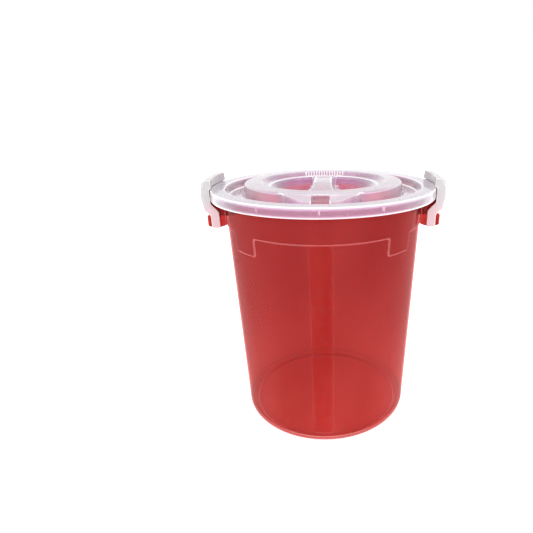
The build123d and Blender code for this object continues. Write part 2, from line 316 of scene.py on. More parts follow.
# milky clear plastic of the lid: facing is its colour seen straight on, cool and warm the streaks at a
# slant, edge the white of the painted highlight on bends
milkyPlastic = {
    "cool": (0.56, 0.52, 0.58, 1), "warm": (0.68, 0.64, 0.68, 1), "facing": (1.0, 0.56, 0.80, 1),
    "edge": (1, 1, 1, 1), "tint": (0.89, 0.84, 0.94, 1), "shine": (1, 1, 1, 1),
    "leg": (1, 1, 1, 1), "legShare": 0.0, "legs": (lidTop - 34 * mm, lidTop - 14 * mm),
    "opacity": 0.155, "cloudOpacity": 0.10, "edgeOpacity": 0.75, "slant": 0.80,
    "roughness": 0.24, "grainRoughness": 0.08, "scuffRoughness": 0.22,
    "cloudScale": 22, "grainScale": 1600, "scuffScale": 260, "depth": 0.4 * mm,
    "gloss": 1.0, "edgeGloss": 0.12,
}
sealPlastic = dict(milkyPlastic, opacity=0.655)
# the latches are denser, and their legs pick up the red behind them
latchPlastic = dict(milkyPlastic, cool=(0.60, 0.58, 0.59, 1), warm=(0.68, 0.66, 0.67, 1),
                    facing=(0.64, 0.61, 0.62, 1), edge=(0.86, 0.84, 0.85, 1), tint=(0.93, 0.91, 0.92, 1),
                    leg=(0.86, 0.58, 0.63, 1), legShare=0.8, opacity=0.80, slant=0.1,
                    gloss=0.45, edgeGloss=0.05)


def milky(name, look):
    # cloudy clear plastic: soft streaks, fine haze, small scuffs, a painted highlight on the bends where
    # they gather the light
    finish = Finish(name)
    cloud = finish.noise(look["cloudScale"], 3)
    grain = finish.noise(look["grainScale"], 2)
    scuff = finish.noise(look["scuffScale"], 4, (1, 0.2, 1), 0.6)
    edge = finish.edges()
    colour = finish.blend(cloud.within(0.35, 0.65), look["cool"], look["warm"])
    colour = finish.blend(finish.slant().within(0.15, 0.55), look["facing"], colour)
    if look["legShare"]:
        legs = 1 - finish.axis("Z").within(*look["legs"])
        colour = finish.blend(legs * look["legShare"], colour, look["leg"])
    # painted highlight on the bends: the edge colour here, and more opacity and gloss below
    colour = finish.blend(edge, colour, look["edge"])
    rough = look["roughness"] + look["grainRoughness"] * (grain - 0.5)
    rough = rough + look["scuffRoughness"] * scuff.within(0.58, 0.75)
    opacity = look["opacity"] + look["cloudOpacity"] * (cloud - 0.5) + look["edgeOpacity"] * edge
    opacity = opacity + look["slant"] * finish.slant() ** 3.0
    normal = finish.relief(cloud * 0.5 + grain * 0.02, 0.2, look["depth"])
    plastic = {"Base Color": colour, "Roughness": rough, "Normal": normal, "IOR": 1.49,
               "Coat Weight": 0.2, "Coat Roughness": 0.08}
    gloss = look["gloss"] * (finish.mirrored() - 0.02) + look["edgeGloss"] * edge
    return finish.clearPlastic(opacity, (look["tint"],), plastic, gloss, look["shine"])


# bucket wall, base, rim: radii are the wall's outer ones, band and tabs stand out from it; tabs are
# the middle and half width in degrees and the length, ribs those two, the height and how far they stand out
bucket = {
    "base": 131.5 * mm, "mouth": 141.2 * mm, "wall": 2.0 * mm, "corner": 12 * mm, "lift": 3.3 * mm,
    "footIn": 116.5 * mm, "flareFoot": bodyTop - 10.5 * mm, "flareRun": 4 * mm, "rim": 156.5 * mm,
    "rimWall": 2.2 * mm, "lip": 8.5 * mm, "lipWall": 2 * mm,
    "bandFoot": bodyTop - 46 * mm, "bandProud": 1.2 * mm,
    "tabs": (46.0, 8.5, 24 * mm), "tabCorner": 3.5 * mm,
    "ribs": (60.0, 1.25, 36 * mm, 1.3 * mm),
    "footLine": 1.2, "footLineHalf": 2.2 * mm, "sides": 2.5,
}
wallGrow = (bucket["mouth"] - bucket["base"]) / bucket["flareFoot"]


def wallRadius(z):
    return bucket["base"] + wallGrow * z


def bandRelief(z, azimuth):
    # how far the upper band with its hanging tabs, and the lug ribs, stand out: a rounded step along
    # the line where the distance to the half plane above the band's foot, or to a tab, is zero
    folded = np.abs((np.degrees(azimuth) + 90) % 180 - 90)   # the front's and the back's tabs alike
    middle, half, length = bucket["tabs"]
    along = np.radians(folded - middle) * wallRadius(z)
    halfWidth = np.radians(half) * wallRadius(z)
    corner = bucket["tabCorner"]
    x = np.abs(along) - (halfWidth - corner)
    y = (bucket["bandFoot"] - z) - (length - corner)
    tab = np.hypot(np.maximum(x, 0), np.maximum(y, 0)) + np.minimum(np.maximum(x, y), 0) - corner
    above = bucket["bandFoot"] - z
    blend = np.clip(0.5 + 0.5 * (tab - above) / corner, 0, 1)
    distance = above * blend + tab * (1 - blend) - corner * blend * (1 - blend)
    step = bucket["bandProud"] * smoothStep(-0.7 * mm, 0.7 * mm, -distance)
    place, reach, tall, proud = bucket["ribs"]
    rib = smoothStep(reach + 0.45, reach - 0.45, np.abs(folded - place)) * proud
    overFoot = z - bucket["bandFoot"]
    inBand = smoothStep(0, 2.5 * mm, overFoot) * (1 - smoothStep(tall - 3 * mm, tall, overFoot))
    return (step + rib * inBand) * smoothStep(0, 1 * mm, bucket["flareFoot"] + 2 * mm - z)


def baseShade(bend, x, y, z):
    # the foot of the wall's inside gathers light in a thin line
    r = np.hypot(x, y)
    line = crest(r - (bucket["base"] - bucket["wall"] - 0.35 * bucket["corner"]), bucket["footLineHalf"])
    inside = (z > bucket["lift"] + 1.5 * mm) * (z < 14 * mm) * (r < bucket["base"] - 1.2 * mm)
    return np.maximum(bend, bucket["footLine"] * line * inside)


def buildBucket(material):
    b = bucket
    under = bodyTop - b["rimWall"]
    outer = [
        (0, b["lift"]), (b["footIn"], b["lift"], 0.8 * mm), (b["footIn"], 0, 0.5 * mm),
        (b["base"], 0, b["corner"]), (b["mouth"], b["flareFoot"], 6 * mm),
        (b["mouth"] + b["flareRun"], under, 1.5 * mm),
        (b["rim"] - b["lipWall"], under, 1 * mm), (b["rim"] - b["lipWall"], bodyTop - b["lip"], 0.6 * mm),
        (b["rim"], bodyTop - b["lip"], 0.6 * mm), (b["rim"], bodyTop, 1.2 * mm),
        (b["mouth"] - b["wall"] + b["flareRun"], bodyTop, 1.5 * mm),
        (b["mouth"] - b["wall"], b["flareFoot"], 6 * mm),
        (b["base"] - b["wall"], b["lift"] + b["wall"], b["corner"] - b["wall"]), (0, b["lift"] + b["wall"]),
    ]
    path = roundedPath(outer, 9 * mm)
    # the outer wall gets its own rows, closer where the band, tabs and ribs begin and end
    turnIn = np.argmax(path[:, 1] * (path[:, 0] > b["base"] - 1 * mm) > 13 * mm)
    wallEnd = np.argmax(path[:, 1] > b["flareFoot"] - 5 * mm)
    z = gathered(14 * mm, b["flareFoot"] - 5 * mm, 7 * mm, [
        (b["bandFoot"], 4 * mm, 0.4 * mm), (b["bandFoot"] - b["tabs"][2], 4 * mm, 0.4 * mm),
        (b["bandFoot"] + b["ribs"][2], 4 * mm, 0.7 * mm),
        (b["bandFoot"] - b["tabs"][2] / 2, b["tabs"][2] / 2, 2 * mm)])
    wallRows = np.stack([wallRadius(z), z], -1)
    path = np.concatenate([path[:turnIn], wallRows, path[wallEnd:]])
    isWall = np.zeros(len(path), bool)
    isWall[turnIn:turnIn + len(z)] = True
    crowds = []
    for quarter in (0, 180, 360):
        for sign in (1, -1):
            for edge in (b["tabs"][0] - b["tabs"][1], b["tabs"][0] + b["tabs"][1]):
                crowds.append((quarter + sign * edge, 2.0, 0.22))
            crowds.append((quarter + sign * b["ribs"][0], 2.1, 0.2))
    azimuths = np.radians(gathered(0, 360, b["sides"], crowds)[:-1])
    radius = path[:, :1] + isWall[:, None] * bandRelief(path[:, 1:2], azimuths[None, :])
    points = turned(radius, path[:, 1:2], azimuths)
    faces = gridFaces(len(path), len(azimuths), wrapColumns=True)
    piece = makeMesh("bucketShell", points, faces)
    addBend(piece, baseShade).data.materials.append(material)
    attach(piece, "bucket")
    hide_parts("bucket_body")


# halfAngle is in degrees; face, bead and scroll are how far each stands out, bends the limits of the painted
# highlight
strip = {
    "foot": 20 * mm, "halfAngle": 6.2, "face": 0.3 * mm, "bead": 0.25 * mm, "beadPlace": 1.0 * mm,
    "scroll": 0.42 * mm, "pitch": 2.8 * mm, "sway": 5.0 * mm, "period": 46 * mm, "bends": (0.32, 1.0),
}


def scrollRelief(s, h):
    # nested scrolls: centres alternate left and right up the strip, each the middle of a spiral whose
    # ridges lie where radius / pitch - turn is whole, out to where the next centre is nearer
    pitch, period = strip["pitch"], strip["period"]
    shape = np.broadcast(s, h).shape
    nearest, wave = np.full(shape, 1.0), np.zeros(shape)
    for phase, side in ((0.0, 1), (0.5, -1)):
        y = (h / period + phase + 0.5) % 1.0 * period - period / 2
        x = s - side * strip["sway"]
        r = np.hypot(x, y * 0.8)
        nearer = r < nearest
        wave = np.where(nearer, (r / pitch - side * np.arctan2(y, x * side) / (2 * np.pi)) % 1.0, wave)
        nearest = np.where(nearer, r, nearest)
    return crest(wave - 0.5, 0.40) * smoothStep(0.5 * mm, 1.5 * mm, nearest)


def buildStrip(name, middle, material):
    # a thin plate on the wall, its face carrying the scroll between two raised edge lines
    halfWidth = math.radians(strip["halfAngle"])
    azimuth = np.linspace(-halfWidth, halfWidth, 81)
    z = np.arange(strip["foot"], bucket["bandFoot"], 0.6 * mm)
    s = azimuth[None, :] * wallRadius(z)[:, None]
    edge = halfWidth * wallRadius(z)[:, None] - np.abs(s)
    beads = crest(edge - strip["beadPlace"], 0.9 * mm) * strip["bead"]
    inside = smoothStep(1.8 * mm, 2.6 * mm, edge)
    ends = smoothStep(0, 2 * mm, np.minimum(z - z[0], z[-1] - z))[:, None]
    relief = beads + inside * strip["scroll"] * scrollRelief(s, z[:, None] - strip["foot"]) * ends
    top = wallRadius(z)[:, None] + strip["face"] + relief
    back = wallRadius(z)[:, None] + 0.02 * mm + 0 * s
    rows = np.concatenate([top, back[::-1]])
    heights = np.concatenate([z, z[::-1]])[:, None]
    points = turned(rows, heights, azimuth + middle)
    faces = gridFaces(len(rows), len(azimuth), wrapRows=True)
    count, width = len(z), len(azimuth)
    rim = np.arange(count - 1)
    sides = []
    for column in (0, width - 1):
        face = [rim, rim + 1, 2 * count - 2 - rim, 2 * count - 1 - rim]
        sides.append(np.stack(face, -1) * width + column)
    piece = makeMesh(name, points, np.concatenate([faces] + sides))
    addBend(piece, None, strip["bends"]).data.materials.append(material)
    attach(piece, "bucket")


# channel is its outer and inner radius and its depth, ringOut and ringIn a radius and a height, bar its half
# width and rise, panel its half sides and depth, steps their count, tread, drop and half width; thumb is the
# ribs' inner and outer radius, the patch's half widths there, pitch and height; knurl is the row's radius,
# its reach across and along, pitch and height; ticks are in degrees
lid = {
    "radius": 160 * mm, "skirtFlare": 0.7 * mm, "skirt": 13.1 * mm, "edge": 2 * mm,
    "channel": (136.5 * mm, 116 * mm, 12 * mm), "plugSlope": 3.5 * mm,
    "ringOut": (112 * mm, 5.5 * mm), "ringIn": (89 * mm, 6.5 * mm), "lip": 79 * mm, "bowl": 76 * mm,
    "bowlDepth": 24 * mm, "bowlFloor": 62 * mm, "bar": (14 * mm, 7 * mm), "barFlare": 0.38,
    "panel": (10.2 * mm, 22 * mm, 0.8 * mm), "steps": (3, 5 * mm, 5.5 * mm, 42 * mm),
    "lobe": 58 * mm, "thumb": (113 * mm, 131 * mm, 9.5 * mm, 12.5 * mm, 2.9 * mm, 1.3 * mm),
    "knurl": (84.5 * mm, 4.5 * mm, 31 * mm, 4.2 * mm, 1.2 * mm), "ticks": (-27.5, 0.0, 27.5),
    # the shades are how much painted highlight lidShade adds, and with patchShade takes away
    "tickHalf": 0.9 * mm, "tickShade": 0.35, "lobeShade": 0.4, "slopeShade": 0.2, "channelShade": 0.12,
    "patchShade": -0.2,
}


def lidShade(bend, x, y, z):
    # places of the lid made whiter and cloudier by more of the bends' painted highlight: its lobe, the ticks
    # on the skirt, the ring's outer slope and the channel
    r, azimuth = np.hypot(x, y), np.degrees(np.arctan2(x, -y))
    ringOut, channelOut = lid["ringOut"][0], lid["channel"][0]
    lobe = np.hypot(x, y + channelOut - lid["lobe"]) < lid["lobe"] - 5 * mm
    bend = np.maximum(bend, lid["lobeShade"] * lobe * (r > ringOut))
    for place in lid["ticks"]:
        tick = (np.abs(np.radians(azimuth - place)) * r < lid["tickHalf"]) * (r > lid["radius"] - 2 * mm)
        bend = np.maximum(bend, lid["tickShade"] * tick * (z < lidTop - 3 * mm) * (z > lidTop - 8 * mm))
    slopeEnd = lid["channel"][1] + 1 * mm
    slope = (r > ringOut - 1 * mm) * (r < slopeEnd)
    channel = (r >= slopeEnd) * (r < channelOut + lid["plugSlope"])
    bend = np.maximum(bend, lid["slopeShade"] * slope + lid["channelShade"] * channel)
    # the knurls' painted highlight falls away between their crests, a painted shade there, and the thumb
    # ribs lose it and turn clear below their bright upper ends
    middle, reach, span, pitch = lid["knurl"][:4]
    row = (np.abs(r - middle) < reach) * (np.abs(x) < span) * (y > 0)
    bend = bend * (1 - 0.9 * row * (1 - np.maximum(np.cos(2 * np.pi * x / pitch), 0)))
    low, high = lid["thumb"][:2]
    patch = (np.abs(x) < 11 * mm) * (y < -low - 0.2 * mm) * (y > -high)
    return bend * (1 - 0.95 * patch) + lid["patchShade"] * patch


def lidProfile():
    # the lid's top line from the bowl lip out to the skirt's foot
    c, top = lid["channel"], lidTop
    corners = [
        (lid["bowl"] - 6 * mm, top - 10 * mm), (lid["bowl"], top, 1.2 * mm), (lid["lip"], top, 1.5 * mm),
        (lid["ringIn"][0], top + lid["ringIn"][1], 6 * mm),
        (lid["ringOut"][0], top + lid["ringOut"][1], 4 * mm),
        (c[1], top - c[2], 2 * mm), (c[0], top - c[2], 2 * mm), (c[0] + lid["plugSlope"], top, 1.2 * mm),
        (lid["radius"], top, lid["edge"]), (lid["radius"] + lid["skirtFlare"], top - lid["skirt"]),
    ]
    return roundedPath(corners, 2.2 * mm)


def buildLidSheet(material):
    top = lidProfile()
    slope = np.gradient(top, axis=0)
    slope /= np.linalg.norm(slope, axis=1)[:, None]
    normal = np.stack([-slope[:, 1], slope[:, 0]], -1)
    bottom = top - normal * sheetWall
    fine = [(0, 7, 0.15), (360, 7, 0.15), (180, 22, 0.3), (28, 5, 0.6), (332, 5, 0.6)]
    azimuths = np.radians(gathered(0, 360, 2.0, fine)[:-1])
    c = lid["channel"]

    def raised(r, z, azimuth):
        # the front lobe: inside its circle the channel fills up along the slope from ring to rim
        x, y = r * np.sin(azimuth), -r * np.cos(azimuth)
        inside = lid["lobe"] - np.hypot(x, y + c[0] - lid["lobe"])
        share = np.clip((r - lid["ringOut"][0]) / (c[0] - lid["ringOut"][0]), 0, 1)
        ramp = lidTop + lid["ringOut"][1] * (1 - share) ** 1.4 - 2.5 * mm * share
        lift = np.maximum(ramp - z, 0) * (r > lid["ringOut"][0] - 3 * mm) * (r < c[0] + 3 * mm)
        lift = lift * smoothStep(0, 5 * mm, inside)
        # thumb ribs on the lobe: pointed ridges of an even pitch across a patch that widens outwards
        low, high, narrow, wide, pitch, tall = lid["thumb"]
        share = np.clip((r - low) / (high - low), 0, 1)
        patch = smoothStep(0, 1 * mm, narrow + (wide - narrow) * share - np.abs(x)) * (y < 0)
        patch = patch * smoothStep(low - 1 * mm, low, r) * smoothStep(high + 1 * mm, high, r)
        lift = lift + patch * tall * (np.abs((x / pitch) % 1 * 2 - 1) - 0.5)
        # knurls: a row of round bumps along the ring's inner slope at the back
        middle, reach, span, pitch, tall = lid["knurl"]
        row = crest(r - middle, reach) * smoothStep(span, span - 2 * mm, np.abs(x)) * (y > 0)
        return z + lift + row * tall * np.cos(2 * np.pi * x / pitch)

    topZ = raised(top[:, :1], top[:, 1:], azimuths[None, :])
    bottomZ = bottom[:, 1:] + (topZ - top[:, 1:])
    rows = np.concatenate([top[:, :1], bottom[::-1, :1]])
    radius = np.broadcast_to(rows, (len(rows), len(azimuths)))
    height = np.concatenate([topZ, bottomZ[::-1]])
    points = np.stack([radius * np.sin(azimuths), -radius * np.cos(azimuths), height], -1)
    piece = makeMesh("lidSheet", points, gridFaces(len(rows), len(azimuths), True, True))
    addBend(piece, lidShade).data.materials.append(material)
    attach(piece, "lid")
    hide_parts("lid")


def barFlare(y):
    # the bar's half width widens towards the bowl's lip
    return 1 + lid["barFlare"] * smoothStep(0.55, 1.0, np.abs(y) / lid["bowl"])


def bowlHeight(x, y, shrink):
    # the bowl's surface under a grip bar and steps; shrink gives the lower side of the sheet
    reach = lid["bowl"] - shrink
    r = np.hypot(x, y)
    floor = lidTop - lid["bowlDepth"]
    wall = floor + lid["bowlDepth"] * smoothStep(lid["bowlFloor"] - 3 * mm - shrink, reach + 1.5 * mm, r)
    count, depth, drop, halfWidth = lid["steps"]
    steps = floor + 0 * r
    for k in range(count):
        edge = reach - (k + 1) * depth - shrink
        tread = lidTop - (k + 1) * drop
        rise = smoothStep(edge - 0.6 * mm, edge + 0.6 * mm, np.abs(y))
        steps = np.maximum(steps, floor + (tread - floor) * rise)
    inSteps = smoothStep(halfWidth + 0.8 * mm - shrink, halfWidth - 0.8 * mm - shrink, np.abs(x))
    surface = np.maximum(wall, floor + (steps - floor) * inSteps)
    half, rise = lid["bar"][0] * barFlare(y), lid["bar"][1]
    barTop = lidTop + rise * np.clip(1 - (y / lid["bowl"]) ** 2, 0, 1)
    panelHalf, panelReach, panelDepth = lid["panel"]
    soft = 0.4 * mm
    panel = panelDepth * smoothStep(panelHalf + soft, panelHalf - soft, np.abs(x))
    panel = panel * smoothStep(panelReach + soft, panelReach - soft, np.abs(y))
    inBar = smoothStep(half - shrink + 0.1 * mm, half - shrink - 1.3 * mm, np.abs(x))
    inBar = inBar * smoothStep(reach + 1 * mm, reach - 1 * mm, np.abs(y)) if shrink else inBar
    return surface + (barTop - panel - surface) * inBar - shrink


def buildLidBowl(material):
    # rows run across the bowl at a constant y; columns crowd at the bar's sides and at the steps' ends
    half, step = lid["bar"][0], lid["steps"]
    reach = lid["bowl"] + 0.8 * mm
    edges = [(side * (lid["bowl"] - (k + 1) * step[1]), 1.4 * mm, 0.35 * mm)
             for side in (1, -1) for k in range(step[0])]
    y = gathered(-reach + 1.2 * mm, reach - 1.2 * mm, 1.6 * mm, edges)
    crowds = [(side * 0.7 * half, 0.8 * mm, 0.3 * mm) for side in (1, -1)]
    inner = gathered(-half + 1.3 * mm, half - 1.3 * mm, 1.6 * mm, crowds)
    side = np.linspace(half - 1.3 * mm, half + 0.1 * mm, 6)[1:]
    outerShare = gathered(0, 1, 0.026, [])[1:]
    flare = barFlare(y)[:, None]
    width = np.sqrt(np.maximum(reach ** 2 - y[:, None] ** 2, (half * flare + 1 * mm) ** 2))
    side = side + half * (flare - 1)
    outer = side[:, -1:] + outerShare * (width - side[:, -1:])
    right = np.concatenate([side, outer], 1)
    x = np.concatenate([-right[:, ::-1], inner * (side[:, :1] / side.min()), right], 1)
    yy = np.broadcast_to(y[:, None], x.shape)
    top = np.stack([x, yy, bowlHeight(x, yy, 0)], -1)
    low = np.stack([x, yy, bowlHeight(x, yy, sheetWall)], -1)
    rows, columns = x.shape
    faces = [gridFaces(rows, columns), gridFaces(rows, columns, first=rows * columns)]
    ring = np.concatenate([
        np.arange(columns), np.arange(1, rows) * columns + columns - 1,
        (rows - 1) * columns + np.arange(columns - 1)[::-1], np.arange(rows - 1)[:0:-1] * columns])
    after = np.roll(ring, -1)
    lift = rows * columns
    faces.append(np.stack([ring, after, after + lift, ring + lift], -1))
    points = np.concatenate([top.reshape(-1, 3), low.reshape(-1, 3)])
    piece = makeMesh("lidBowl", points, np.concatenate(faces))
    addBend(piece).data.materials.append(material)
    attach(piece, "lid")


def prism(outline, low, high):
    # a plate with the given XZ outline between two Y places: vertices and faces
    outline = np.asarray(outline, float)
    count = len(outline)
    near = np.stack([outline[:, 0], np.full(count, low), outline[:, 1]], -1)
    far = near + np.array([0, high - low, 0])
    ring = np.arange(count)
    faces = [list(ring), list(ring[::-1] + count)]
    faces += np.stack([ring, (ring + 1) % count, (ring + 1) % count + count, ring + count], -1).tolist()
    return np.concatenate([near, far]), faces


def arcPlate(inner, outer, halfWidth, low, high):
    # a plate between heights whose inner side, and outer side if it is given as a radius, are arcs
    # about the bucket's axis; outer is (radius, None) or (None, X)
    y = np.linspace(-halfWidth, halfWidth, 25)
    far = np.sqrt(outer[0] ** 2 - y ** 2) if outer[0] else np.full(25, outer[1])
    plan = np.concatenate([np.stack([np.sqrt(inner ** 2 - y ** 2), y], -1), np.stack([far, y], -1)[::-1]])
    points, faces = prism(plan, low, high)
    return points[:, [0, 2, 1]], faces


def fused(name, solids, voxel, smooth):
    # closed solids that overlap, made one skin by a fine remesh and rounded by smoothing
    points, faces, first = [], [], 0
    for solidPoints, solidFaces in solids:
        points.append(solidPoints)
        faces += [[index + first for index in face] for face in solidFaces]
        first += len(solidPoints)
    piece = makeMesh(name, np.concatenate(points), faces, 1e-9)
    remesh = piece.modifiers.new("skin", "REMESH")
    remesh.mode, remesh.voxel_size, remesh.use_smooth_shade = "VOXEL", voxel, True
    relax = piece.modifiers.new("relax", "SMOOTH")
    relax.iterations, relax.factor = smooth, 0.5
    bpy.context.view_layer.update()
    done = bpy.data.meshes.new_from_object(piece.evaluated_get(bpy.context.evaluated_depsgraph_get()))
    piece.modifiers.clear()
    piece.data = done
    return piece


# reach, crown and web lie beyond the lid's edge; web is its reach, the heights below the lid's top where
# its slope begins and ends, and its rounding; arm is the heights where the inner side slopes to the leg
latch = {
    "wall": 2.5 * mm, "leg": 4.5 * mm, "half": 41.5 * mm, "hook": 158.2 * mm, "skirt": 161.2 * mm,
    "gap": 0.4 * mm, "tall": 12.7 * mm, "crown": 9.5 * mm, "reach": 10.3 * mm, "widest": 2 * mm,
    "crownRound": 9 * mm, "hookRound": 6 * mm, "web": (6 * mm, 29 * mm, 36 * mm, 5 * mm),
    "arm": (20 * mm, 31 * mm), "legHalf": 6 * mm, "legRound": 1.8 * mm, "foot": 54.4 * mm, "stud": 3 * mm,
    "endRun": 16 * mm, "endSink": 6 * mm, "endDraw": 2.5 * mm,
    "voxel": 0.6 * mm, "smooth": 12, "bends": (0.15, 0.6),
}


def latchOutline():
    # side view of one side plate and leg, at +X
    k, edge = latch, lid["radius"]
    pivotX = hingePlace[0]
    middle = k["half"] - k["leg"] / 2
    skirt, hook = (math.sqrt(k[key] ** 2 - middle ** 2) for key in ("skirt", "hook"))
    reach, webHigh, webLow, webRound = k["web"]
    foot, arm, crown, low = lidTop - k["foot"], k["arm"], lidTop + k["tall"], lidTop + k["gap"]
    corners = [
        (pivotX, foot), (pivotX + k["legHalf"], foot, k["legRound"]),
        (pivotX + k["legHalf"], lidTop - webLow, webRound), (edge + reach, lidTop - webHigh, webRound),
        (edge + k["reach"], lidTop - k["widest"], 12 * mm), (edge + k["crown"], crown, k["crownRound"]),
        (hook, crown, k["hookRound"]), (hook, low, 0.8 * mm), (skirt, low, 0.8 * mm),
        (skirt, lidTop - arm[0], 5 * mm), (pivotX - k["legHalf"], lidTop - arm[1], 5 * mm),
        (pivotX - k["legHalf"], foot, k["legRound"]), (pivotX, foot),
    ]
    return roundedPath(corners, 3 * mm)[:-1]


def webOutline():
    # the outer wall between the side plates, from its foot up over the crown
    k, edge, w = latch, lid["radius"], latch["wall"]
    foot, crown, inner = lidTop - k["web"][1], lidTop + k["tall"], lidTop + k["tall"] - w
    corners = [
        (edge + k["web"][0] - w, foot), (edge + k["web"][0], foot, 0.8 * mm),
        (edge + k["reach"], lidTop - k["widest"], 12 * mm), (edge + k["crown"], crown, k["crownRound"]),
        (edge + 1 * mm, crown, 0.2 * mm), (edge + 1 * mm, inner, 0.2 * mm),
        (edge + k["crown"] - 0.8 * w, inner, k["crownRound"] - w),
        (edge + k["reach"] - w, lidTop - k["widest"], 10 * mm), (edge + k["web"][0] - w, foot),
    ]
    return roundedPath(corners, 3 * mm)[:-1]


def roundEnds(piece):
    # the hood's ends fall away in a curve: the crown sinks and the outer wall draws in
    # by sink * share squared, where share grows from 0 to 1 over the last part of its half width
    k = latch
    points = np.empty(3 * len(piece.data.vertices))
    piece.data.vertices.foreach_get("co", points)
    points = points.reshape(-1, 3)
    share = np.clip((np.abs(points[:, 1]) - k["half"] + k["endRun"]) / k["endRun"], 0, 1) ** 2
    rise = smoothStep(lidTop + k["gap"], lidTop + k["tall"], points[:, 2])
    high = smoothStep(lidTop - 12 * mm, lidTop + 2 * mm, points[:, 2])
    out = smoothStep(lid["radius"], lid["radius"] + k["crown"], points[:, 0])
    beyondHook = smoothStep(k["hook"], lid["radius"] + k["crown"], points[:, 0])
    points[:, 2] -= k["endSink"] * share * rise * beyondHook
    points[:, 0] -= k["endDraw"] * share * high * out
    piece.data.vertices.foreach_set("co", points.ravel())


def buildLatch(name, body, side, material):
    k = latch
    crown, width = lidTop + k["tall"], k["half"] - 1 * mm
    solids = [prism(webOutline(), -width, width),
              arcPlate(k["hook"], (None, lid["radius"] + 3 * mm), width, crown - k["wall"], crown),
              arcPlate(k["hook"], (k["hook"] + k["wall"], None), width, lidTop + k["gap"], crown)]
    stud = np.linspace(0, 2 * np.pi, 25)[:-1]
    pivot = np.array([hingePlace[0], hingePlace[2]])
    studOutline = pivot + k["stud"] * np.stack([np.cos(stud), np.sin(stud)], -1)
    middle = k["half"] - k["leg"] / 2
    for hand in (1, -1):
        low, high = sorted((hand * (k["half"] - k["leg"]), hand * k["half"]))
        points, faces = prism(latchOutline(), low, high)
        # the side that meets the lid follows the lid's edge
        nearLid = (points[:, 0] < lid["radius"] - 2 * mm) & (points[:, 2] > lidTop - k["arm"][0] - 6 * mm)
        arc = np.sqrt(k["skirt"] ** 2 - points[:, 1] ** 2) - math.sqrt(k["skirt"] ** 2 - middle ** 2)
        points[:, 0] += nearLid * arc
        solids.append((points, faces))
        low, high = sorted((hand * (k["half"] - k["leg"] - 4 * mm), hand * (k["half"] - 1 * mm)))
        solids.append(prism(studOutline, low, high))
    piece = fused(name, solids, k["voxel"], k["smooth"])
    roundEnds(piece)
    if side < 0:
        piece.data.transform(Matrix.Diagonal((-1, 1, 1, 1)))
        piece.data.flip_normals()
    addBend(piece, None, k["bends"]).data.materials.append(material)
    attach(piece, body)
    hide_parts(body)


# top, step and foot lie below the lid's top; face and ledge are the front's upper and lower places
lug = {
    "half": 36 * mm, "wall": 3 * mm, "face": 159.5 * mm, "ledge": 164.6 * mm, "root": 137 * mm,
    "top": 14.5 * mm, "step": 34 * mm, "foot": 54 * mm, "corner": 5 * mm, "voxel": 0.8 * mm, "smooth": 4,
}


def buildLug(name, side, material):
    k = lug
    face, ledge, root, wall = k["face"], k["ledge"], k["root"], k["wall"]
    top, step, foot = (lidTop - k[key] for key in ("top", "step", "foot"))
    cheek = roundedPath([
        (root, foot + 3 * mm), (root, top + 5 * mm, 0.2 * mm), (151 * mm, top + 5 * mm, 2 * mm),
        (153 * mm, top, 1 * mm), (face, top, 1.5 * mm), (face, step, 3 * mm),
        (ledge, step - 4 * mm, 3 * mm), (ledge, foot, k["corner"]), (root + 8 * mm, foot, 6 * mm),
        (root, foot + 3 * mm)], 3 * mm)[:-1]
    front = [
        (face - wall, top - 1 * mm), (face, top - 1 * mm, 0.5 * mm), (face, step, 3 * mm),
        (ledge, step - 4 * mm, 3 * mm), (ledge, foot + 1 * mm, 2 * mm),
        (ledge - wall, foot + 1 * mm, 1 * mm), (ledge - wall, step - 5 * mm, 2 * mm),
        (face - wall, step - 1 * mm, 2 * mm), (face - wall, top - 1 * mm)]
    solids = [prism(roundedPath(front, 3 * mm)[:-1], -k["half"] + 1 * mm, k["half"] - 1 * mm)]
    for hand in (1, -1):
        low, high = sorted((hand * (k["half"] - k["wall"]), hand * k["half"]))
        solids.append(prism(cheek, low, high))
    # the shelf over the hand hold: its root is an arc inside the wall
    y = np.linspace(-k["half"] + 1 * mm, k["half"] - 1 * mm, 15)
    inWall = np.sqrt((bucket["mouth"] - 1.2 * mm) ** 2 - y ** 2)
    outer = np.stack([np.full(15, face - 1 * mm), y[::-1]], -1)
    points, faces = prism(np.concatenate([np.stack([inWall, y], -1), outer]), top - wall, top)
    solids.append((points[:, [0, 2, 1]], faces))
    piece = fused(name, solids, k["voxel"], k["smooth"])
    if side < 0:
        piece.data.transform(Matrix.Diagonal((-1, 1, 1, 1)))
        piece.data.flip_normals()
    addBend(piece).data.materials.append(material)
    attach(piece, "bucket")


# turn is in degrees; line is how far from a rib the painted lighter line in the base begins and ends to fade
baseRibs = {
    "pitch": 33.6 * mm, "half": 0.7 * mm, "turn": -4.3, "foot": 0.5 * mm,
    "line": (0.5 * mm, 1.3 * mm), "lineShare": 0.8,
}


def ribLines(x, y):
    # a material's value: highest along the ribs, 0 beside them, from the distance to the nearest rib
    turn = math.radians(baseRibs["turn"])
    along = (math.cos(turn) * x + math.sin(turn) * y).toHalfPitch(baseRibs["pitch"])
    across = (math.cos(turn) * y - math.sin(turn) * x).toHalfPitch(baseRibs["pitch"])
    return baseRibs["lineShare"] * (1 - along.least(across).within(*baseRibs["line"]))


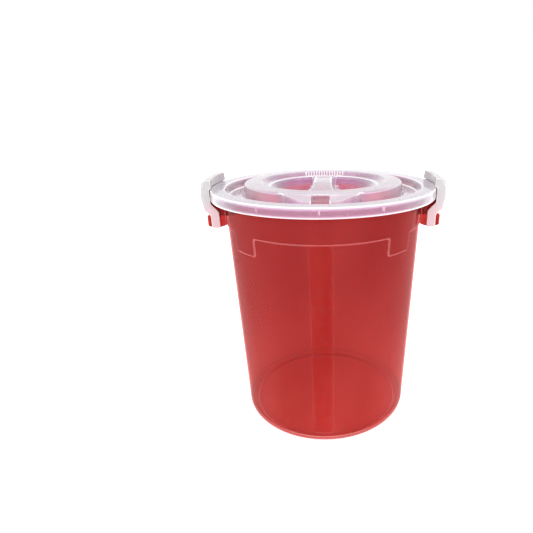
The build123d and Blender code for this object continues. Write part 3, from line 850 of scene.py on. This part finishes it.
def buildBaseRibs(material):
    # thin ribs both ways under the base, cut to the foot ring's circle
    pitch, half, turn = baseRibs["pitch"], baseRibs["half"], math.radians(baseRibs["turn"])
    reach = bucket["footIn"] - 0.3 * mm
    low, high = baseRibs["foot"], bucket["lift"] - 0.05 * mm
    points, faces = [], []
    for way in (0, 1):
        for k in range(-3, 3):
            offset = (k + 0.5) * pitch
            length = math.sqrt(reach ** 2 - (abs(offset) + half) ** 2)
            angle = turn + way * math.pi / 2
            section = np.array([(-half, high), (-half * 0.7, low), (half * 0.7, low), (half, high)])
            block = np.concatenate([np.stack([np.full(4, end), offset + section[:, 0], section[:, 1]], -1)
                                    for end in (-length, length)])
            if way:
                block[:, 2] -= 0.02 * mm
            rotation = np.array(Matrix.Rotation(angle, 3, "Z"))
            first = 8 * len(points)
            points.append(block @ rotation.T)
            faces += [[first + i for i in face] for face in
                      ((0, 1, 2, 3), (7, 6, 5, 4), (0, 4, 5, 1), (1, 5, 6, 2), (2, 6, 7, 3), (3, 7, 4, 0))]
    piece = makeMesh("baseRibs", np.concatenate(points), faces, 1e-9)
    piece.data.polygons.foreach_set("use_smooth", np.zeros(len(piece.data.polygons), bool))
    addBend(piece).data.materials.append(material)
    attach(piece, "bucket")


def buildSeal(material):
    # a flat ring with two soft beads on its lower face
    outer, inner = sealHigh.x, sealHigh.x - 8 * mm
    low, high = sealLow.z + 0.05 * mm, sealHigh.z - 0.05 * mm
    path = roundedPath([
        (inner, low + 0.5 * mm), (inner, high, 0.4 * mm), (outer, high, 0.4 * mm), (outer, low, 0.4 * mm),
        (outer - 2 * mm, low, 0.5 * mm), (outer - 4 * mm, low + 0.5 * mm, 0.8 * mm),
        (inner + 2 * mm, low, 0.5 * mm), (inner, low + 0.5 * mm)], 1.5 * mm)[:-1]
    azimuths = np.radians(np.arange(0, 360, 2.0))
    points = turned(path[:, :1], path[:, 1:2], azimuths)
    piece = makeMesh("sealRing", points, gridFaces(len(path), len(azimuths), True, True))
    addBend(piece).data.materials.append(material)
    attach(piece, "lid")
    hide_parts("lid_seal")


redWall = moulded("redWall", redPlastic, 0.65, True)
redStrip = moulded("redStrip", stripPlastic)
redRib = moulded("redRib", ribPlastic, 0.0)
redLug = moulded("redLug", lugPlastic)
milkLid = milky("milkLid", milkyPlastic)
milkLatch = milky("milkLatch", latchPlastic)
milkSeal = milky("milkSeal", sealPlastic)
buildBucket(redWall)
buildBaseRibs(redRib)
buildStrip("stripFront", 0.0, redStrip)
buildStrip("stripBack", math.pi, redStrip)
buildLug("lugRight", 1, redLug)
buildLug("lugLeft", -1, redLug)
print("bucket built")
buildLidSheet(milkLid)
buildLidBowl(milkLid)
buildSeal(milkSeal)
print("lid built")
buildLatch("latchRight", "latch_right", 1, milkLatch)
buildLatch("latchLeft", "latch_left", -1, milkLatch)
print("latches built")

# the lights are a place, a size in metres and a power in watts; all of them point at target
stage = {
    "floor": (1, 1, 1, 1), "size": 6.0, "world": 1.0, "glow": 0.7, "roughness": 0.6, "target": (0, 0, 0.2),
    "lights": {"keyLight": ((-1.2, -1.4, 1.9), 2.0, 4), "fillLight": ((1.5, -1.0, 1.2), 2.0, 5),
               "topLight": ((0, 0.4, 2.2), 1.5, 8)},
}


def buildStage():
    size = stage["size"]
    mesh = bpy.data.meshes.new("floor")
    corners = [(-size, -size, 0), (size, -size, 0), (size, size, 0), (-size, size, 0)]
    mesh.from_pydata(corners, [], [(0, 1, 2, 3)])
    floor = bpy.data.objects.new("floor", mesh)
    bpy.context.scene.collection.objects.link(floor)
    paint = bpy.data.materials.new("palePaint")
    paint.use_nodes = True
    sockets = paint.node_tree.nodes["Principled BSDF"].inputs
    sockets["Base Color"].default_value = stage["floor"]
    sockets["Roughness"].default_value = stage["roughness"]
    sockets["Emission Color"].default_value = stage["floor"]
    sockets["Emission Strength"].default_value = stage["glow"]
    mesh.materials.append(paint)
    world = bpy.data.worlds.new("studio")
    world.use_nodes = True
    world.node_tree.nodes["Background"].inputs["Color"].default_value = (1, 1, 1, 1)
    world.node_tree.nodes["Background"].inputs["Strength"].default_value = stage["world"]
    bpy.context.scene.world = world


def softLight(name, place, size, power):
    light = bpy.data.lights.new(name, "AREA")
    light.shape, light.size, light.energy = "SQUARE", size, power
    lamp = bpy.data.objects.new(name, light)
    lamp.location = place
    lamp.rotation_mode = "QUATERNION"
    lamp.rotation_quaternion = (Vector(stage["target"]) - Vector(place)).to_track_quat("-Z", "Y")
    bpy.context.scene.collection.objects.link(lamp)


# distance is from the bucket's axis, above from the lid's top, the three angles are in degrees, lens in mm
view = {
    "distance": 629.2 * mm, "above": 102.1 * mm, "pitch": 23.5, "roll": -0.8, "turn": 1.7,
    "lens": 28.74, "shift": (-0.109, 0.048),
}


def buildCamera():
    camera = bpy.data.cameras.new("camera")
    camera.lens, camera.sensor_width = view["lens"], 36
    camera.shift_x, camera.shift_y = view["shift"]
    turn = math.radians(view["turn"])
    place = (view["distance"] * math.sin(turn), -view["distance"] * math.cos(turn), lidTop + view["above"])
    aim = Matrix.Rotation(turn, 4, "Z") @ Matrix.Rotation(math.radians(90 - view["pitch"]), 4, "X")
    holder = bpy.data.objects.new("camera", camera)
    roll = Matrix.Rotation(math.radians(view["roll"]), 4, "Z")
    holder.matrix_world = Matrix.Translation(place) @ aim @ roll
    bpy.context.scene.collection.objects.link(holder)
    bpy.context.scene.camera = holder


buildStage()
for lightName, (place, size, power) in stage["lights"].items():
    softLight(lightName, place, size, power)
buildCamera()
bpy.context.scene.view_settings.view_transform = "Standard"
bpy.context.scene.cycles.transparent_max_bounces = 24
print("stage set")
